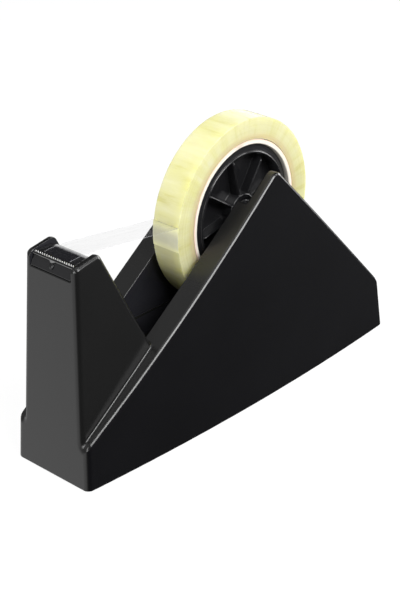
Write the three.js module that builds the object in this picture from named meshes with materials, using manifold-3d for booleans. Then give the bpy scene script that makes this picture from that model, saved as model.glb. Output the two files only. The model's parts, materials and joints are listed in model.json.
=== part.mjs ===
// Weighted desk tape dispenser: a moulded housing with a cutter head on a front tower, and a
// roll of clear tape on a hub that drops into cradles between two triangular cheeks.
// Millimetres, +Z up, +X towards the back, origin on the table under the middle of the base.
import * as THREE from 'three';
import { mergeVertices } from 'three/addons/utils/BufferGeometryUtils.js';
import Module from 'manifold-3d';

const wasm = await Module();
wasm.setup();

// ---- driving dimensions -------------------------------------------------------------------
const GAP = 0.3;                 // clearance between neighbouring pieces
const WALL = 2.6;                // moulded wall

// Base: bowed sides, leaning front and back.
const HALF_LENGTH = 125.3;
const END_HALF_WIDTH = 26.6;
const SIDE_BOW = 4.8;            // extra half width at the middle of the length
const CORNER = 4;
const SIDE_TAPER = 0.00133;      // share of the width lost per mm of height
const FRONT_LEAN = Math.tan(THREE.MathUtils.degToRad(2.5));
const BACK_LEAN = Math.tan(THREE.MathUtils.degToRad(9));
const SKIRT_Z = 0.5;             // lower edge of the housing, just clear of the table
const CORNER_EASE = 0.3;         // keeps the plan's corner arcs smooth where they meet the bow

// Cheeks: side outline in X and Z.
const CHEEK_FRONT_Z = 24.2;
const CHEEK_SAG = 2.5;           // hollow of the long front edge
const APEX = new THREE.Vector2(20.8, 132.2);
const BACK_CORNER = new THREE.Vector2(120.3, 30.4);
const EDGE_ROUND = 5;
const SLANT_DROP = 1.3;          // height lost per mm of wall under a slanting edge

// Tower with two ears that hold the cutter head between them.
const TOWER_HALF_WIDTH = 22.7;
const TOWER_TAPER = 0.00169;
const TOWER_CORNER = 3;
const EAR_FRONT_Z = 120.3;
const EAR_BACK = new THREE.Vector2(-103.3, 123.2);
const EAR_ROUND = 3;
const TOWER_BACK_SLOPE = 1.92;   // rise over run of the tower's back face
const TOWER_WALL_X = 1.2 * WALL; // the sloping back wall, measured along X
const SEAT_Z = 113.4;            // floor between the ears
const SEAT_THICKNESS = 4;
const EAR_INNER = 14.3;

// Axle, hub and roll.
const AXLE = new THREE.Vector2(13.6, 105.3);
const AXLE_RADIUS = 4;
const AXLE_CHAMFER = 0.6;
const AXLE_HALF_LENGTH = 19.4;
const ROLL_HALF_WIDTH = 9;
const ROLL_RADIUS = 52.7;
const CORE_INNER = 38;
const CORE_OUTER = 40.4;
const HUB_RADIUS = CORE_INNER - GAP;
const HUB_INSET = 0.2;           // hub rim inside the roll's side faces
const HUB_LIP = 34;
const RIM_CHAMFER = 0.5;
const WEB_HALF = 1.2;
const HUB_BOSS_RADIUS = 10;
const HUB_BOSS_HALF = 7.8;
const COLLAR_RADIUS = 6.5;
const RIB_COUNT = 8;
const FIRST_RIB = 57.5;          // degrees
const RIB_THICKNESS = 1.6;
const RIB_HALF_WIDTH = 7.4;
const RIB_CLIP = 3;
const RIB_ROOT = 0.5;            // how far a rib runs into the boss and the rim
const FILM = 0.2;
const FILM_LIFT = GAP + 0.05;
const TAPE_START_X = -115.3;
const TAPE_LEAVES_Z = 112.9;

// Well for the roll, and the thinner upper cheek above the cradles.
const WELL_HALF_WIDTH = 13.8;
const WELL_LOW_HALF_WIDTH = 12.3;
const WELL_LEDGE_Z = 57;
const WELL_FLOOR_Z = 45;
const CRADLE_DEPTH_Y = 20;       // inner face of the thin upper cheek
const CRADLE_MOUTH = new THREE.Vector2(2.1, 117.3);
const HOLLOW_TOP_Z = 94.3;       // the cheeks are solid above this

// Cutter head and blade.
const HEAD_HALF_WIDTH = EAR_INNER - GAP;
const HEAD_FRONT_X = -118;
const HEAD_TOP_Z = 120.3;
const HEAD_CROWN = 0.4;          // rise of the head's top towards its rounded rear edge
const HEAD_CROWN_X = -108;
const HEAD_REAR_X = -102.6;
const HEAD_REAR_Z = 115.3;       // where the rounded rear edge starts
const HEAD_BACK_INSET = 0.4;
const HEAD_FOOT_INSET = 0.15;    // the head's sloping front ends just behind the tower's face
const BLADE_ANGLE = THREE.MathUtils.degToRad(42);
const BLADE_FOOT = new THREE.Vector2(HEAD_FRONT_X, 118.7);
const BLADE_THICKNESS = 0.6;
const TOOTH_COUNT = 18;
const TOOTH_ROOT = 1.5;          // heights up the blade's face
const TOOTH_TIP = 2.35;
const BLADE_HEM = 0.25;
const TAB_TIP = -0.7;
const TAB_TOP_HALF = 3;
const TAB_TIP_HALF = 1.2;
const RIVET_Z = 116.7;
const RIVET_SHANK = 0.9;
const RIVET_HOLE = 1.2;
const RIVET_HEAD = 1.5;
const RIVET_HEAD_DEPTH = 0.9;

// Underside.
const PLATE_Z = 2.2;
const PLATE_THICKNESS = 2.2;
const SCREW_X = 107;
const SCREW_INSET = 6.2;         // screw axis inside the base's outer half width
const BOSS_RADIUS = 4.4;
const BOSS_TOP_Z = 20;
const SCREW_TIP_Z = 15;
const SCREW_SHANK = 1.3;
const SCREW_HOLE = 1.7;
const SCREW_HEAD = 2.9;
const FOOT_RADIUS = 7;
const FOOT_X = 92;
const FOOT_Y = 15;
const BALLAST_GAP = 1.4;
const BALLAST_TOP_Z = 104;
const BALLAST_STEP_Z = 46;       // below this the front ballast stands upright at its back
const BALLAST_FRONT_HALF_WIDTH = 16.6;
const BALLAST_FRONT_TAPER = 0.002;
const BALLAST_REAR_HALF_WIDTH = 20;
const BALLAST_REAR_X = 100;

// Limits past every edge, for solids that another solid trims.
const FAR = 200;
const BELOW = -5;

// ---- helpers ------------------------------------------------------------------------------
function toSolid(geometry) {
  const bare = geometry.clone();
  bare.deleteAttribute('normal');
  bare.deleteAttribute('uv');
  const merged = mergeVertices(bare, 1e-4);
  const vertProperties = new Float32Array(merged.attributes.position.array);
  const triVerts = new Uint32Array(merged.index.array);
  return new wasm.Manifold(new wasm.Mesh({ numProp: 3, vertProperties, triVerts }));
}

function toGeometry(solid) {
  const { vertProperties, triVerts } = solid.getMesh();
  const geometry = new THREE.BufferGeometry();
  geometry.setAttribute('position', new THREE.BufferAttribute(new Float32Array(vertProperties), 3));
  geometry.setIndex(new THREE.BufferAttribute(new Uint32Array(triVerts), 1));
  geometry.computeVertexNormals();
  return geometry;
}

function outline(points) {
  return new THREE.Shape(points.map(([x, y]) => new THREE.Vector2(x, y)));
}

// A plan outline (X, Y) raised from z0 to z1.
function raise(shape, z0, z1, curveSegments = 12) {
  const geometry = new THREE.ExtrudeGeometry(shape, { depth: z1 - z0, bevelEnabled: false, curveSegments });
  return geometry.translate(0, 0, z0);
}

// A side outline (X, Z) drawn out across Y, from -halfWidth to +halfWidth.
function across(shape, halfWidth, curveSegments = 12) {
  const options = { depth: 2 * halfWidth, bevelEnabled: false, curveSegments };
  const geometry = new THREE.ExtrudeGeometry(shape, options);
  return geometry.rotateX(Math.PI / 2).translate(0, halfWidth, 0);
}

function warp(geometry, change) {
  const position = geometry.attributes.position;
  const point = new THREE.Vector3();
  for (let i = 0; i < position.count; i += 1) {
    point.fromBufferAttribute(position, i);
    change(point);
    position.setXYZ(i, point.x, point.y, point.z);
  }
  return geometry;
}

// A profile of [radius, y] pairs turned about an axis along Y through the axle's centre.
function turn(profile, segments) {
  const points = profile.map(([radius, y]) => new THREE.Vector2(radius, y));
  return new THREE.LatheGeometry(points, segments).translate(AXLE.x, 0, AXLE.y);
}

function post(radius, x, y, z0, z1, segments = 20) {
  const geometry = new THREE.CylinderGeometry(radius, radius, z1 - z0, segments);
  return geometry.rotateX(Math.PI / 2).translate(x, y, (z0 + z1) / 2);
}

function baseHalfWidth(x) {
  return END_HALF_WIDTH + SIDE_BOW * (1 - (x / HALF_LENGTH) ** 2);
}

function towerBackX(z) {
  return EAR_BACK.x + (EAR_BACK.y - z) / TOWER_BACK_SLOPE;
}

function frontX(z) {
  return -HALF_LENGTH + FRONT_LEAN * z;
}

// The point on the line from one point towards another, a given distance along it.
function towards(from, to, distance) {
  return to.clone().sub(from).normalize().multiplyScalar(distance).add(from);
}

// ---- housing ------------------------------------------------------------------------------
function basePlan(inset) {
  const length = HALF_LENGTH - inset;
  const width = END_HALF_WIDTH - inset;
  const eased = width + CORNER_EASE;
  const shape = new THREE.Shape();
  shape.moveTo(-length, CORNER - width);
  shape.quadraticCurveTo(-length, -width, CORNER - length, -eased);
  shape.quadraticCurveTo(0, -width - 2 * SIDE_BOW, length - CORNER, -eased);
  shape.quadraticCurveTo(length, -width, length, CORNER - width);
  shape.lineTo(length, width - CORNER);
  shape.quadraticCurveTo(length, width, length - CORNER, eased);
  shape.quadraticCurveTo(0, width + 2 * SIDE_BOW, CORNER - length, eased);
  shape.quadraticCurveTo(-length, width, -length, width - CORNER);
  return shape;
}

// Side outline of the cheeks. The ends run past the base plan, which trims them.
function cheekSide(inset) {
  const drop = inset * SLANT_DROP;
  const front = new THREE.Vector2(-HALF_LENGTH, CHEEK_FRONT_Z - drop);
  const apex = new THREE.Vector2(APEX.x, APEX.y - drop);
  const corner = new THREE.Vector2(BACK_CORNER.x - inset, BACK_CORNER.y - drop);
  const sag = front.clone().add(apex).multiplyScalar(0.5);
  sag.y -= 2 * CHEEK_SAG;
  const ahead = front.clone().lerp(sag, -0.4);
  const intoApex = towards(apex, sag, EDGE_ROUND);
  const outOfApex = towards(apex, corner, EDGE_ROUND);
  const intoCorner = towards(corner, apex, EDGE_ROUND);
  const outOfCorner = new THREE.Vector2(corner.x + BACK_LEAN * EDGE_ROUND, corner.y - EDGE_ROUND);
  const shape = new THREE.Shape();
  shape.moveTo(ahead.x, BELOW);
  shape.lineTo(ahead.x, ahead.y);
  shape.lineTo(front.x, front.y);
  shape.quadraticCurveTo(sag.x, sag.y, intoApex.x, intoApex.y);
  shape.quadraticCurveTo(apex.x, apex.y, outOfApex.x, outOfApex.y);
  shape.lineTo(intoCorner.x, intoCorner.y);
  shape.quadraticCurveTo(corner.x, corner.y, outOfCorner.x, outOfCorner.y);
  shape.lineTo(FAR, 0);
  shape.lineTo(FAR, BELOW);
  return shape;
}

// Draft of the base: every wall leans inwards as it rises.
function leanBase(point) {
  const share = (point.x + HALF_LENGTH) / (2 * HALF_LENGTH);
  point.x += point.z * (FRONT_LEAN * (1 - share) - BACK_LEAN * share);
  point.y *= 1 - SIDE_TAPER * point.z;
}

function leanTower(point) {
  point.x += point.z * FRONT_LEAN;
  point.y *= 1 - TOWER_TAPER * point.z;
}

// An inset of 0 gives the outer skin, and WALL gives the hollow inside it.
function baseBody(inset) {
  const floor = inset > 0 ? BELOW : SKIRT_Z;
  const plan = warp(raise(basePlan(inset), floor, FAR, 20), leanBase);
  return toSolid(plan).intersect(toSolid(across(cheekSide(inset), FAR, 20)));
}

function towerBody(inset) {
  const floor = inset > 0 ? BELOW : SKIRT_Z;
  const width = TOWER_HALF_WIDTH - inset;
  const front = inset - HALF_LENGTH;
  const plan = new THREE.Shape();
  plan.moveTo(0, -width);
  plan.lineTo(0, width);
  plan.lineTo(front + TOWER_CORNER, width);
  plan.quadraticCurveTo(front, width, front, width - TOWER_CORNER);
  plan.lineTo(front, TOWER_CORNER - width);
  plan.quadraticCurveTo(front, -width, front + TOWER_CORNER, -width);
  const raised = toSolid(warp(raise(plan, floor, FAR), leanTower));
  return raised.intersect(toSolid(across(inset > 0 ? towerHollowSide() : towerSide(), FAR)));
}

// Side outline of the tower: a nearly level ear top between two rounded corners.
function towerSide() {
  const earFront = new THREE.Vector2(frontX(EAR_FRONT_Z), EAR_FRONT_Z);
  const foot = new THREE.Vector2(towerBackX(BELOW), BELOW);
  const outOfFront = towards(earFront, EAR_BACK, EAR_ROUND);
  const intoBack = towards(EAR_BACK, earFront, EAR_ROUND);
  const outOfBack = towards(EAR_BACK, foot, EAR_ROUND);
  const shape = new THREE.Shape();
  shape.moveTo(-FAR, BELOW);
  shape.lineTo(-FAR, SEAT_Z - SEAT_THICKNESS);
  shape.lineTo(frontX(EAR_FRONT_Z - EAR_ROUND), EAR_FRONT_Z - EAR_ROUND);
  shape.quadraticCurveTo(earFront.x, earFront.y, outOfFront.x, outOfFront.y);
  shape.lineTo(intoBack.x, intoBack.y);
  shape.quadraticCurveTo(EAR_BACK.x, EAR_BACK.y, outOfBack.x, outOfBack.y);
  shape.lineTo(foot.x, foot.y);
  return shape;
}

function towerHollowSide() {
  const top = SEAT_Z - SEAT_THICKNESS;
  return outline([
    [-FAR, BELOW],
    [-FAR, top],
    [towerBackX(top) - TOWER_WALL_X, top],
    [towerBackX(BELOW) - TOWER_WALL_X, BELOW],
  ]);
}

// Side outline of the well: flat floor, then an arc about the axle up to the back slope.
function wellSide(floorZ, grow, startX) {
  const radius = AXLE.y - WELL_FLOOR_Z + grow;
  const fromAngle = Math.asin(Math.max(-1, (floorZ - AXLE.y) / radius));
  const shape = new THREE.Shape();
  shape.moveTo(startX, floorZ);
  shape.lineTo(AXLE.x + radius * Math.cos(fromAngle), floorZ);
  shape.absarc(AXLE.x, AXLE.y, radius, fromAngle, 0, false);
  shape.lineTo(AXLE.x + radius, FAR);
  shape.lineTo(startX, FAR);
  return shape;
}

// The cut for the well reaches into the tower's place, and the tower is added afterwards.
function well() {
  const upper = toSolid(across(wellSide(WELL_LEDGE_Z, 0, frontX(WELL_FLOOR_Z) + WALL), WELL_HALF_WIDTH));
  const lower = toSolid(across(wellSide(WELL_FLOOR_Z, 0, frontX(WELL_FLOOR_Z) + WALL), WELL_LOW_HALF_WIDTH));
  return upper.add(lower);
}

// The well with its own wall around it, bounded in front by the tower's back wall.
function wellWithWall() {
  const block = across(wellSide(WELL_FLOOR_Z - WALL, WALL, -FAR), WELL_HALF_WIDTH + WALL);
  const shift = TOWER_WALL_X + GAP;
  const ahead = outline([
    [-2 * FAR, BELOW],
    [towerBackX(BELOW) - shift, BELOW],
    [towerBackX(FAR) - shift, FAR],
    [-2 * FAR, FAR],
  ]);
  return toSolid(block).subtract(toSolid(across(ahead, FAR)));
}

// Space over the cradles: a U under the axle that opens upwards through the thin upper cheeks.
function cradleSpace() {
  const radius = AXLE_RADIUS + GAP;
  const lip = new THREE.Vector2(AXLE.x - radius, AXLE.y);
  const top = lip.clone().lerp(CRADLE_MOUTH, 1.8);
  const backTopX = 2 * AXLE.x - top.x;
  const shape = new THREE.Shape();
  shape.moveTo(top.x, top.y);
  shape.lineTo(lip.x, lip.y);
  shape.absarc(AXLE.x, AXLE.y, radius, Math.PI, 2 * Math.PI, false);
  shape.lineTo(backTopX, top.y);
  shape.lineTo(backTopX, FAR);
  shape.lineTo(top.x, FAR);
  return toSolid(across(shape, CRADLE_DEPTH_Y));
}

// Cut between the ears, down to the seat.
function headSpace() {
  const behindTower = towerBackX(SEAT_Z) + WALL;
  return toSolid(across(outline([
    [-FAR, SEAT_Z],
    [behindTower, SEAT_Z],
    [behindTower, FAR],
    [-FAR, FAR],
  ]), EAR_INNER));
}

function hollow() {
  const hull = baseBody(WALL).subtract(wellWithWall());
  const lid = new THREE.BoxGeometry(2 * FAR, FAR, FAR).translate(0, 0, HOLLOW_TOP_Z + FAR / 2);
  return hull.subtract(toSolid(lid)).add(towerBody(WALL));
}

const screwPlaces = [];
for (const x of [-SCREW_X, SCREW_X]) {
  for (const side of [-1, 1]) {
    screwPlaces.push([x, side * (baseHalfWidth(x) - SCREW_INSET)]);
  }
}

function housing() {
  let solid = baseBody(0).subtract(well()).add(towerBody(0));
  solid = solid.subtract(cradleSpace()).subtract(headSpace()).subtract(hollow());
  const bossFoot = PLATE_Z + PLATE_THICKNESS + GAP;
  for (const [x, y] of screwPlaces) {
    solid = solid.add(toSolid(post(BOSS_RADIUS, x, y, bossFoot, BOSS_TOP_Z)));
    solid = solid.subtract(toSolid(post(SCREW_SHANK + GAP, x, y, 0, SCREW_TIP_Z + 2, 12)));
  }
  return toGeometry(solid);
}

// ---- underside ----------------------------------------------------------------------------
function basePlate() {
  const plan = raise(basePlan(WALL + GAP + 0.1), PLATE_Z, PLATE_Z + PLATE_THICKNESS, 16);
  let solid = toSolid(warp(plan, leanBase));
  for (const [x, y] of screwPlaces) {
    solid = solid.subtract(toSolid(post(SCREW_HOLE, x, y, 0, SCREW_TIP_Z, 12)));
  }
  return toGeometry(solid);
}

function baseScrew(x, y) {
  const headTop = PLATE_Z - GAP;
  const head = post(SCREW_HEAD, x, y, headTop - 1.2, headTop, 20);
  const shank = post(SCREW_SHANK, x, y, headTop - 1, SCREW_TIP_Z, 10);
  return toGeometry(toSolid(head).add(toSolid(shank)));
}

function foot(x, y) {
  return post(FOOT_RADIUS, x, y, 0, PLATE_Z - GAP, 32);
}

const ballastFloorZ = PLATE_Z + PLATE_THICKNESS + 0.8;
const ballastSplitX = towerBackX(BALLAST_STEP_Z) - WALL;

function ballastFront() {
  const frontGap = WALL + BALLAST_GAP;
  const backGap = TOWER_WALL_X + BALLAST_GAP;
  const backX = ballastSplitX - BALLAST_GAP;
  const shape = outline([
    [frontX(ballastFloorZ) + frontGap, ballastFloorZ],
    [backX, ballastFloorZ],
    [backX, BALLAST_STEP_Z],
    [towerBackX(BALLAST_TOP_Z) - backGap, BALLAST_TOP_Z],
    [frontX(BALLAST_TOP_Z) + frontGap, BALLAST_TOP_Z],
  ]);
  return warp(across(shape, BALLAST_FRONT_HALF_WIDTH), (point) => {
    point.y *= 1 - BALLAST_FRONT_TAPER * point.z;
  });
}

function ballastRear() {
  const top = WELL_FLOOR_Z - WALL - BALLAST_GAP;
  const shape = outline([
    [ballastSplitX, ballastFloorZ],
    [BALLAST_REAR_X, ballastFloorZ],
    [BALLAST_REAR_X, top],
    [ballastSplitX, top],
  ]);
  return across(shape, BALLAST_REAR_HALF_WIDTH);
}

// ---- cutter head --------------------------------------------------------------------------
const bladeAlong = new THREE.Vector2(Math.cos(BLADE_ANGLE), Math.sin(BLADE_ANGLE));
const bladeOut = new THREE.Vector2(-Math.sin(BLADE_ANGLE), Math.cos(BLADE_ANGLE));
const crownZ = HEAD_TOP_Z + HEAD_CROWN;
const headSeatZ = SEAT_Z + GAP;
const headFoot = new THREE.Vector2(frontX(headSeatZ) + HEAD_FOOT_INSET, headSeatZ);
const headFace = BLADE_FOOT.clone().sub(headFoot).normalize();
const headLean = Math.atan2(headFace.x, headFace.y);
const rivetPlace = headFoot.clone().addScaledVector(headFace, (RIVET_Z - headSeatZ) / headFace.y);

// Turned shapes about the rivet's axis, square to the head's sloping front face.
function onHeadFace(geometry) {
  return geometry.rotateZ(-Math.PI / 2).rotateY(headLean).translate(rivetPlace.x, 0, rivetPlace.y);
}

function cutterHead() {
  const rise = (HEAD_TOP_Z - BLADE_FOOT.y) / bladeAlong.y;
  const edge = BLADE_FOOT.clone().addScaledVector(bladeAlong, rise);
  const shape = new THREE.Shape();
  shape.moveTo(headFoot.x, headFoot.y);
  shape.lineTo(towerBackX(headSeatZ) - HEAD_BACK_INSET, headSeatZ);
  shape.lineTo(towerBackX(HEAD_REAR_Z) - HEAD_BACK_INSET, HEAD_REAR_Z);
  shape.quadraticCurveTo(HEAD_REAR_X, crownZ + GAP, HEAD_CROWN_X, crownZ);
  shape.lineTo(edge.x, edge.y);
  shape.lineTo(BLADE_FOOT.x, BLADE_FOOT.y);
  const hole = onHeadFace(new THREE.CylinderGeometry(RIVET_HOLE, RIVET_HOLE, 3, 16));
  return toGeometry(toSolid(across(shape, HEAD_HALF_WIDTH)).subtract(toSolid(hole)));
}

// Serrated steel strip lying on the head's front chamfer, with a small tab over the rivet.
function blade() {
  const tooth = 2 * HEAD_HALF_WIDTH / TOOTH_COUNT;
  const shape = new THREE.Shape();
  shape.moveTo(-HEAD_HALF_WIDTH, BLADE_HEM);
  shape.lineTo(-TAB_TOP_HALF, BLADE_HEM);
  shape.lineTo(-TAB_TIP_HALF, TAB_TIP);
  shape.lineTo(TAB_TIP_HALF, TAB_TIP);
  shape.lineTo(TAB_TOP_HALF, BLADE_HEM);
  shape.lineTo(HEAD_HALF_WIDTH, BLADE_HEM);
  for (let i = 0; i < TOOTH_COUNT; i += 1) {
    shape.lineTo(HEAD_HALF_WIDTH - tooth * i, TOOTH_ROOT);
    shape.lineTo(HEAD_HALF_WIDTH - tooth * (i + 0.5), TOOTH_TIP);
  }
  shape.lineTo(-HEAD_HALF_WIDTH, TOOTH_ROOT);
  const geometry = new THREE.ExtrudeGeometry(shape, { depth: BLADE_THICKNESS, bevelEnabled: false });
  const placed = new THREE.Matrix4().makeBasis(
    new THREE.Vector3(0, 1, 0),
    new THREE.Vector3(bladeAlong.x, 0, bladeAlong.y),
    new THREE.Vector3(-bladeOut.x, 0, -bladeOut.y),
  );
  const corner = BLADE_FOOT.clone().addScaledVector(bladeOut, GAP + BLADE_THICKNESS);
  placed.setPosition(corner.x, 0, corner.y);
  return geometry.applyMatrix4(placed);
}

// A domed head that hides in the recess, and a shank in the cutter head's hole.
function bladeRivet() {
  const profile = [
    [0, -RIVET_HEAD_DEPTH],
    [RIVET_SHANK, -RIVET_HEAD_DEPTH],
    [RIVET_HEAD, 0.2 - GAP - RIVET_HEAD_DEPTH / 2],
    [RIVET_HEAD, -GAP],
    [RIVET_SHANK, -GAP],
    [RIVET_SHANK, RIVET_HOLE],
    [0, RIVET_HOLE],
  ];
  const points = profile.map(([radius, y]) => new THREE.Vector2(radius, y));
  return onHeadFace(new THREE.LatheGeometry(points, 16));
}

// ---- roll, hub and axle -------------------------------------------------------------------
function axle() {
  const half = AXLE_HALF_LENGTH;
  const tip = AXLE_RADIUS - AXLE_CHAMFER;
  const shoulder = half - AXLE_CHAMFER;
  return turn([
    [0, -half],
    [tip, -half],
    [AXLE_RADIUS, -shoulder],
    [AXLE_RADIUS, shoulder],
    [tip, half],
    [0, half],
  ], 32);
}

// Section of the hub above its middle plane: collar, boss, thin web and rim.
function hub() {
  const half = ROLL_HALF_WIDTH - HUB_INSET;
  const collar = WELL_HALF_WIDTH - 0.4;
  const side = [
    [AXLE_RADIUS + GAP, collar],
    [COLLAR_RADIUS, collar],
    [COLLAR_RADIUS, HUB_BOSS_HALF],
    [HUB_BOSS_RADIUS, HUB_BOSS_HALF],
    [HUB_BOSS_RADIUS, WEB_HALF],
    [HUB_LIP, WEB_HALF],
    [HUB_LIP, half - RIM_CHAMFER],
    [HUB_LIP + RIM_CHAMFER, half],
    [HUB_RADIUS, half],
  ];
  const mirrored = side.map(([radius, y]) => [radius, -y]).reverse();
  const section = [...mirrored, ...side, mirrored[0]].reverse();
  let solid = toSolid(turn(section, 96));
  for (let i = 0; i < RIB_COUNT; i += 1) {
    solid = solid.add(toSolid(hubRib(FIRST_RIB + i * 360 / RIB_COUNT)));
  }
  return toGeometry(solid);
}

// A flat rib from the boss to the rim, standing out on both sides of the web.
function hubRib(degrees) {
  const wide = RIB_HALF_WIDTH;
  const shape = outline([
    [HUB_BOSS_RADIUS - RIB_ROOT, -wide],
    [HUB_LIP - RIB_CLIP, -wide],
    [HUB_LIP + RIB_ROOT, RIB_CLIP - wide],
    [HUB_LIP + RIB_ROOT, wide - RIB_CLIP],
    [HUB_LIP - RIB_CLIP, wide],
    [HUB_BOSS_RADIUS - RIB_ROOT, wide],
  ]);
  const geometry = new THREE.ExtrudeGeometry(shape, { depth: RIB_THICKNESS, bevelEnabled: false });
  geometry.translate(0, 0, -RIB_THICKNESS / 2);
  geometry.rotateY(-THREE.MathUtils.degToRad(degrees));
  return geometry.translate(AXLE.x, 0, AXLE.y);
}

function ring(inner, outer) {
  const half = ROLL_HALF_WIDTH;
  return turn([[inner, -half], [outer, -half], [outer, half], [inner, half], [inner, -half]], 96);
}

// Clear film from the blade over the head's top and on to the front of the roll.
function tapeStrip() {
  const level = new THREE.Vector2(HEAD_CROWN_X, crownZ + FILM_LIFT);
  const bend = new THREE.Vector2(HEAD_REAR_X, crownZ + FILM_LIFT);
  const end = new THREE.Vector2(AXLE.x - ROLL_RADIUS + FILM, TAPE_LEAVES_Z);
  const leave = towards(bend, end, bend.x - level.x);
  const shape = new THREE.Shape();
  shape.moveTo(TAPE_START_X, HEAD_TOP_Z + FILM_LIFT);
  shape.lineTo(level.x, level.y);
  shape.quadraticCurveTo(bend.x, bend.y, leave.x, leave.y);
  shape.lineTo(end.x, end.y);
  shape.lineTo(end.x, end.y + FILM);
  shape.lineTo(leave.x, leave.y + FILM);
  shape.quadraticCurveTo(bend.x, bend.y + FILM, level.x, level.y + FILM);
  shape.lineTo(TAPE_START_X, HEAD_TOP_Z + FILM_LIFT + FILM);
  return across(shape, ROLL_HALF_WIDTH, 6);
}

// ---- assembly -----------------------------------------------------------------------------
const dispenser = new THREE.Group();

function addPart(name, geometry, color, roughness, metalness = 0) {
  const material = new THREE.MeshStandardMaterial({ color, roughness, metalness });
  const mesh = new THREE.Mesh(geometry, material);
  mesh.name = name;
  dispenser.add(mesh);
}

addPart('housing', housing(), 0x17181a, 0.35);
addPart('base_plate', basePlate(), 0x1c1c1d, 0.5);
addPart('ballast_front', ballastFront(), 0x8d8a84, 0.9);
addPart('ballast_rear', ballastRear(), 0x8d8a84, 0.9);
screwPlaces.forEach(([x, y], i) => addPart(`base_screw_${i + 1}`, baseScrew(x, y), 0xb8babd, 0.35, 1));
[[-1, -1], [-1, 1], [1, -1], [1, 1]].forEach(([alongX, alongY], i) => {
  addPart(`foot_${i + 1}`, foot(alongX * FOOT_X, alongY * FOOT_Y), 0x2a2a2a, 0.9);
});
addPart('cutter_head', cutterHead(), 0x0e0e10, 0.15);
addPart('blade', blade(), 0xd6d8da, 0.25, 1);
addPart('blade_rivet', bladeRivet(), 0x26272a, 0.3, 0.6);
addPart('axle', axle(), 0xb0b3b6, 0.3, 1);
addPart('hub', hub(), 0x141517, 0.35);
addPart('tape_core', ring(CORE_INNER, CORE_OUTER), 0xf8f3ea, 0.7);
addPart('tape_roll', ring(CORE_OUTER + GAP, ROLL_RADIUS), 0xe9e39a, 0.2);
addPart('tape_strip', tapeStrip(), 0xf2f2ea, 0.1);

export default dispenser;
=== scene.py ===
import itertools
import json
import math

import bmesh
import bpy
import numpy as np
from mathutils import Matrix, Vector


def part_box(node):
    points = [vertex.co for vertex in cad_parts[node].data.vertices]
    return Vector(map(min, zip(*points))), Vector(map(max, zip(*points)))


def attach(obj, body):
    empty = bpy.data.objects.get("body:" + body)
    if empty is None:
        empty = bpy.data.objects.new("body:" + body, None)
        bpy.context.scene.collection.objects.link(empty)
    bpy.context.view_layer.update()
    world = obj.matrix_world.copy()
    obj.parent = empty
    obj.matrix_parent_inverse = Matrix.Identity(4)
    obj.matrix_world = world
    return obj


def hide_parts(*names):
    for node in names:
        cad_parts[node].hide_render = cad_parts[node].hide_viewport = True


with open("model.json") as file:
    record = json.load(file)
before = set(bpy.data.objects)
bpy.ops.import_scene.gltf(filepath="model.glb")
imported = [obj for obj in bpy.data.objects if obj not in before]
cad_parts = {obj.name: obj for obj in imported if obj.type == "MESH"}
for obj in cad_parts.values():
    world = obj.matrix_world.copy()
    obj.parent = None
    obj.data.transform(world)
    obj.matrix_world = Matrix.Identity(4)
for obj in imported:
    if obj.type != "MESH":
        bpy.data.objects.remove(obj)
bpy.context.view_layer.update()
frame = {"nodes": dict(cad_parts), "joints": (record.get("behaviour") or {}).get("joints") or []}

MM = 0.001


def box_mm(node):
    low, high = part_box(node)
    return np.array(low) / MM, np.array(high) / MM


# ---- driving dimensions, in millimetres -----------------------------------------------------
GAP = 0.3
WALL = 2.6

spin = next(j for j in frame["joints"] if j["name"] == "roll_spin")
AXLE_X, _, AXLE_Z = (value / MM for value in spin["pos_m"])
ROLL_RADIUS = (box_mm("tape_roll")[1][0] - box_mm("tape_roll")[0][0]) / 2
ROLL_HALF = box_mm("tape_roll")[1][1]
CORE_RADIUS = (box_mm("tape_core")[1][0] - box_mm("tape_core")[0][0]) / 2
HUB_RADIUS = (box_mm("hub")[1][0] - box_mm("hub")[0][0]) / 2
HUB_COLLAR_HALF = box_mm("hub")[1][1]
AXLE_RADIUS = (box_mm("axle")[1][0] - box_mm("axle")[0][0]) / 2
AXLE_HALF = box_mm("axle")[1][1]

# Base, as in the CAD: bowed sides, leaning walls.
HALF_LENGTH = -box_mm("housing")[0][0]
SKIRT_Z = box_mm("housing")[0][2]
END_HALF_WIDTH = 26.6
SIDE_BOW = 4.8
# The sides stand out by this much more half way along, and by twice as much at the ends.
SIDE_EXTRA = 0.15
CORNER = 4.0
SIDE_TAPER = 0.00133
FRONT_LEAN = math.tan(math.radians(2.5))
BACK_LEAN = math.tan(math.radians(9))

CHEEK_FRONT = (-125.3, 24.2)
CHEEK_SAG = 2.5
APEX = (20.8, 132.2)
BACK_CORNER = (120.3, 30.4)
APEX_ROUND = 4.6

TOWER_HALF_WIDTH = 22.7
TOWER_TAPER = 0.00169
EAR_FRONT_Z = 120.3
EAR_BACK = (-103.3, 123.2)
TOWER_BACK_SLOPE = 1.92
SEAT_Z = 113.4
SEAT_THICKNESS = 4.0
EAR_INNER = 14.3

WELL_HALF_WIDTH = 13.8
WELL_LOW_HALF_WIDTH = 12.3
WELL_LEDGE_Z = 57.0
WELL_FLOOR_Z = 45.0
CRADLE_DEPTH = 20.0
CRADLE_SLOPE = 0.6
CRADLE_TOP_HALF = 17.3
HOLLOW_TOP_Z = 94.3

HEAD_FRONT_X = -118.0
HEAD_TOP_Z = 120.3

# The moulding's edges. Ears stand up a little, because their rounding takes height away.
BEVEL = 1.2
BEVEL_EDGE = 0.4
INNER_EDGE = 0.5
EAR_BEVEL = 1.6
EAR_ROUND = 2.8
HEAD_SPACE_EDGE = 0.55
EAR_LIFT = 0.5
JUNCTION = 1.3
FRONT_ROUND = 3.2
BACK_ROUND = 4.5
FOOT_ROUND = 0.6
WELL_CORNER = 1.0


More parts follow.
